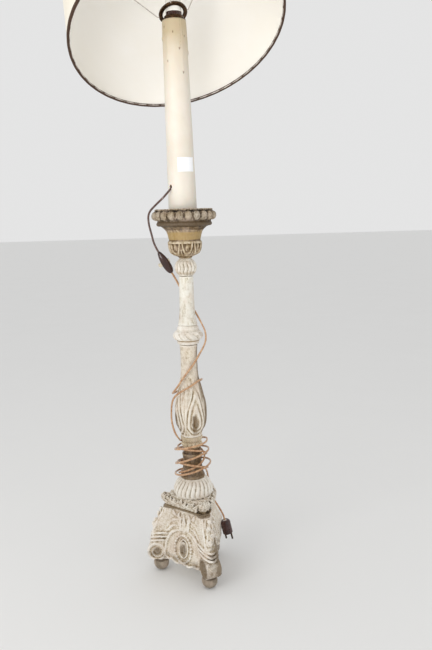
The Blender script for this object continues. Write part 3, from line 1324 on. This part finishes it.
LOWER_ROUTE = [tuple(SWITCH_TOP + switch_down * 58), tuple(SWITCH_END + switch_down * 18),
               (-16.5, 29, 748), (-4, 31, 725), (9, 28, 703), (21, 17, 684), (33, -1, 662),
               (43.5, -11, 640), (44, -15, 618), (36, -15, 600), (27, -17, 586), (19, -21, 573),
               (7, -26, 556), (-6, -28, 541), (-17, -27, 526), (-28, -25, 509), (-39, -17, 493),
               (-45, -2, 483), (-42, 15, 479), (-31, 32, 480), (-12, 42, 486), (11, 39, 496),
               (27, 25, 507), (33, 3, 517), (25, -20, 520), (10, -33, 513), (-8, -37, 503),
               (-27, -34, 493), (-40, -27, 480), (-46.5, -18, 463), (-48.5, -13, 440),
               (-49, -19, 422), (-46.5, -27, 408), (-42.5, -32, 394), (-36.5, -31.5, 380),
               (-30.94, -20.31, 369.22)]
PLUG_TOP = np.array([82.5, 67.5, 102])
plug_down = unit(np.array([10.0, 2, -48]))
TAIL_ROUTE = [(23.93, 45.45, 264.16), (34, 55, 258), (38, 68, 245), (40.5, 77.5, 226),
              (43, 81, 203), (46, 82, 177), (55, 81.5, 156), (66.5, 76.5, 138), (74, 72, 125),
              tuple(PLUG_TOP - plug_down * 13), tuple(PLUG_TOP)]
WINDING = {"top": 360, "foot": 266, "radius": 30.8, "splay": 4.37, "first_step": 5.88,
           "second_step": 4.45, "drop": 1.07, "rise": 2.4, "fall": 2.78, "lean_up": 14,
           "lean_down": 13, "up_heading": 89.6, "down_heading": 141.4, "loose": 4}
POINTS_PER_TURN = 24


def winding_places():
    """The turns round the spool, down, up and down again: angle = pi - 2 pi t, the height runs
    between top and foot with a lean that swings with the angle, and each layer lies further
    out."""
    w = WINDING
    turns = w["drop"] + w["rise"] + w["fall"]
    t = np.linspace(0, turns, round(turns * POINTS_PER_TURN) + 1)

    def ease(value):
        return 0.5 - 0.5 * np.cos(math.pi * np.clip(value, 0, 1))
    angle = math.pi - TAU * t
    rising = np.clip((t - w["drop"]) / w["rise"], 0, 1)
    falling = np.clip((t - w["drop"] - w["rise"]) / w["fall"], 0, 1)
    low = np.clip(t / w["drop"], 0, 1) - rising + falling
    swing_up = 4 * rising * (1 - rising)
    swing_down = 4 * falling * (1 - falling)
    height = w["top"] - (w["top"] - w["foot"]) * low
    height -= w["lean_up"] * swing_up * np.cos(angle - math.radians(w["up_heading"]))
    height -= w["lean_down"] * swing_down * np.cos(angle - math.radians(w["down_heading"]))
    radius = w["radius"] + w["splay"] * low ** 2
    radius += w["first_step"] * ease((t - w["drop"] + 0.28) / 0.8)
    radius += w["second_step"] * ease((t - w["drop"] - w["rise"] + 0.42) / 0.8)
    radius += w["loose"] * swing_down * (0.5 - 0.5 * np.cos(TAU * 1.37 * t))
    return round_points(radius, angle, height)


gold_flex = plain("gold_flex_sheath", tone(158, 110, 74), tone(214, 176, 136), 130, 0.28,
                  bump=0.0001, coat=0.4)
lower_line = hang_line("lower_line", LOWER_ROUTE + [tuple(p) for p in winding_places()]
                       + TAIL_ROUTE)
lay_flex("lower_flex", lower_line, unit(lower_line * (1, 1, 0)), gold_flex,
         ["flex_lower", "flex_winding", "flex_tail"])

# ---------------------------------------------------------------- inline switch
# A moulded brown case on the flex, hollow and shaped as a torpedo, with its fatter end below. A
# pale bar slides through it and carries the contact bridge, and two screws hold its halves.

SWITCH_LENGTH = 62
SWITCH_WALL = 2.2
switch_wide = np.array([0.86904, 0, 0.49474])
switch_deep = np.cross(switch_down, switch_wide)
CASE_OUTLINE = ((0, 2.2, 2.2), (0.03, 3.9, 3.8), (0.12, 6, 5.6), (0.28, 8.6, 7.5),
                (0.48, 10.2, 8.3), (0.66, 10.4, 8.4), (0.82, 9.3, 7.9), (0.93, 7, 6.4),
                (0.985, 4.6, 4.4), (1, 2.8, 2.8))


def switch_case(inset):
    """The case's skin, this far in: half widths and depths follow the outline's shares of the
    length, on a section of cos and sin to the power 0.85."""
    share, wide, deep = flowing(CASE_OUTLINE, 60).T
    down = inset + np.clip(share, 0, 1) * (SWITCH_LENGTH - 2 * inset)
    turn = full_turn(40)
    seam = 1 - 0.05 * (np.abs(np.sin(turn)) < 0.05)
    across = np.maximum(wide - inset, 0.6)[:, None] * squarish(np.cos(turn), 0.85) * seam
    through = np.maximum(deep - inset, 0.6)[:, None] * squarish(np.sin(turn), 0.85)
    return (SWITCH_TOP + switch_down * down[:, None, None] + across[..., None] * switch_wide
            + through[..., None] * switch_deep)


case = make("torpedo_case", [shell(switch_case(0)), shell(switch_case(SWITCH_WALL)[::-1])],
            bakelite, ["switch_front_shell", "switch_back_shell"])
corners = np.array([(1, 1), (-1, 1), (-1, -1), (1, -1)])
opening = corners @ np.array([switch_deep * 3.2, switch_down * 4.7])
middle = SWITCH_TOP + switch_down * SWITCH_LENGTH / 2
cut_away(case, np.stack([middle + opening + switch_wide * reach for reach in (-14, 14)]))
case_screws = []
for down in (15, 47):
    ends = [SWITCH_TOP + switch_down * down + switch_deep * out for out in (-7.3, 7.3)]
    case_screws.append(shell(bar(np.linspace(*ends, 8), 1.4, switch_down, 16, taper=0.001)))
make("case_screws", case_screws, bronze, ["switch_screws"])
ivory = plain("ivory_button", tone(196, 184, 160), tone(220, 210, 190), 120, 0.3)
dress(ivory, "switch_button")
dress(brass, "switch_bridge", "switch_contacts")

# ---------------------------------------------------------------- plug
# An old round two-pin plug of the same brown moulding, hanging on the flex behind the base. Its
# brass pins point down.

dress(plain("red_brown_moulding", tone(40, 18, 16), tone(76, 36, 30), 80, 0.3, 0, (1, 1, 1),
            0.0001, 0.25), "plug_cover", "plug_base")
dress(bronze, "plug_pins")
dress(porcelain, "plug_cord_grip")

# ---------------------------------------------------------------- floor, light and camera
# A plain pale floor, one broad lamp to the upper left, a weaker one to the right, a narrow one
# that reaches into the shade, and an even grey sky. The camera stands where the photograph was
# taken, at breast height and looking down a bit.

FLOOR_REACH = 30.0
floor_mesh = bpy.data.meshes.new("floor")
floor_mesh.from_pydata([(x * FLOOR_REACH, y * FLOOR_REACH, 0)
                        for x, y in ((-1, -1), (1, -1), (1, 1), (-1, 1))], [], [(0, 1, 2, 3)])
floor = linked("floor", floor_mesh)
floor_mesh.materials.append(plain("pale_floor", tone(233, 233, 232), tone(234, 234, 233), 2, 0.85,
                                  bump=0.00001))


def stand_at(obj, place, right, above, back):
    """Put an object at a place, with its own three axes along these."""
    rows = np.column_stack([right, above, back, place])
    obj.matrix_world = Matrix([*rows.tolist(), [0, 0, 0, 1]])


def lamp(name, size, watts, place, aim, colour, spread):
    """A square soft lamp that faces its aim and lights this angle."""
    light = bpy.data.lights.new(name, "AREA")
    light.size = size
    light.energy = watts
    light.color = colour
    light.spread = spread
    obj = linked(name, light)
    back = unit(np.array(place, float) - np.array(aim, float))
    right = unit(np.cross((0, 0, 1), back))
    stand_at(obj, place, right, np.cross(back, right), back)


lamp("left_lamp", 1.5, 19, (-1.6, -1.8, 1.6), (0, 0, 0.6), (1.0, 0.985, 0.955), 3.14)
lamp("right_lamp", 1.6, 4.5, (2.0, -1.2, 1.0), (0, 0, 0.8), (1.0, 0.99, 0.98), 3.14)
lamp("shade_lamp", 0.9, 2.3, (-0.4, -1.85, 0.7), (0.16, 0.1, 1.55), (1.0, 0.985, 0.98), 0.95)
world = bpy.data.worlds.new("studio")
bpy.context.scene.world = world
world.use_nodes = True
world.node_tree.nodes["Background"].inputs["Color"].default_value = grey(0.78)

YAW = math.radians(2.564)
PITCH = math.radians(9.560)
ROLL = math.radians(1.573)
SENSOR = 36.0
FOCAL_PIXELS = 640
PICTURE_HEIGHT = 650
STAND = (0, -1.565, 0.9171)
forward = np.array([math.sin(YAW) * math.cos(PITCH), math.cos(YAW) * math.cos(PITCH),
                    -math.sin(PITCH)])
level_right = np.array([math.cos(YAW), -math.sin(YAW), 0])
level_up = np.cross(level_right, forward)
right = level_right * math.cos(ROLL) - level_up * math.sin(ROLL)
above = level_right * math.sin(ROLL) + level_up * math.cos(ROLL)
camera_data = bpy.data.cameras.new("camera")
camera_data.sensor_width = SENSOR
camera_data.lens = FOCAL_PIXELS / PICTURE_HEIGHT * SENSOR
camera = linked("camera", camera_data)
stand_at(camera, STAND, right, above, -forward)
bpy.context.scene.camera = camera
bpy.context.scene.view_settings.view_transform = "Standard"
